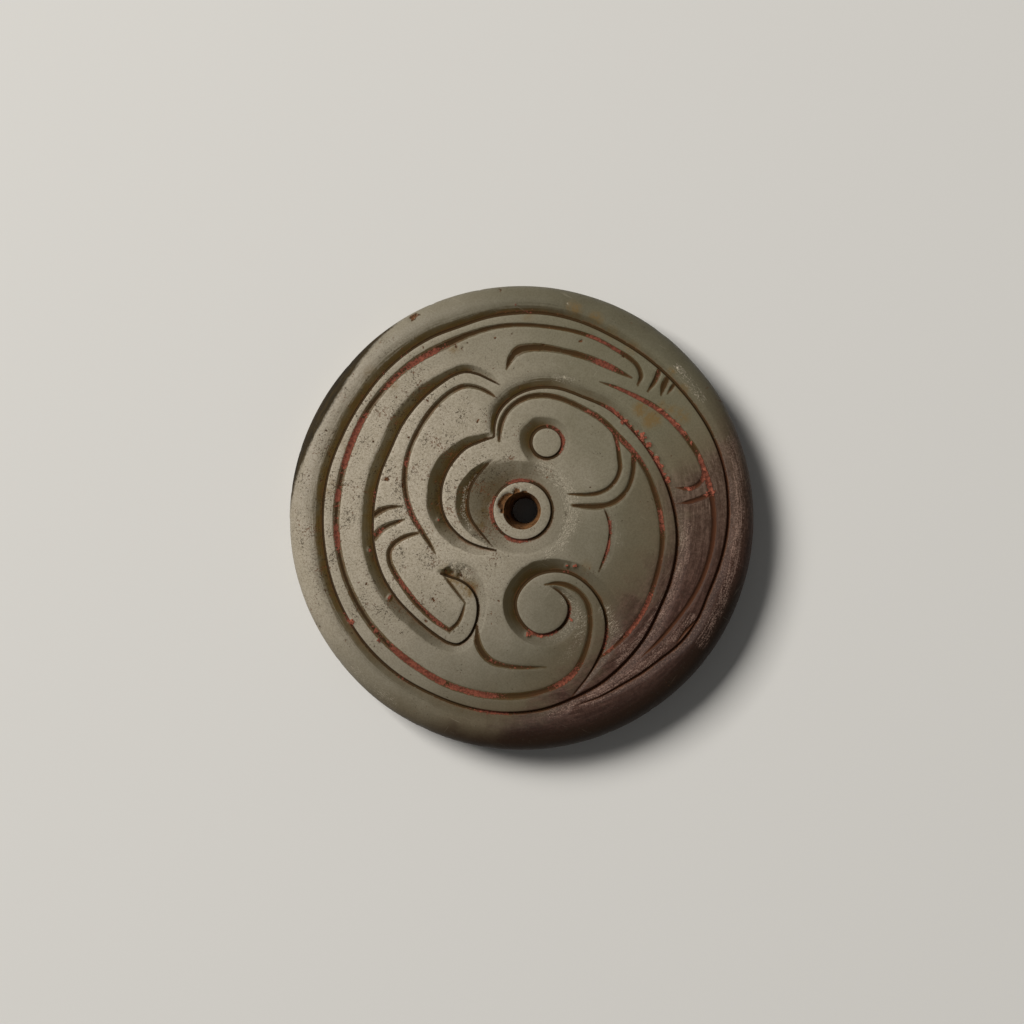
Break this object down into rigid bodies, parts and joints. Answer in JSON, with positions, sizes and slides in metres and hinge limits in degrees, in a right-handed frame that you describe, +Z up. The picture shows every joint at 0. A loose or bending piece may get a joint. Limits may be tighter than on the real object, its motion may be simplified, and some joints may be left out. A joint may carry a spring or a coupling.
{
  "type": "jade pendant",
  "caption": "Round, flat-backed stone pendant carved in relief with a coiled creature and pierced by a small tapered cord hole inside a raised ring.",
  "frame": {"origin": "middle of the flat underside, which the pendant lies on", "axes": "+Z up through the carved face, +Y towards the top of the design, +X to its right"},
  "size_m": [0.0464, 0.0464, 0.0056],
  "materials": {
    "jade": "worn polish, pale grey-green with brown and red-stained areas"
  },
  "bodies": {
    "root": {"pendant_disc": "jade"}
  },
  "joints": []
}
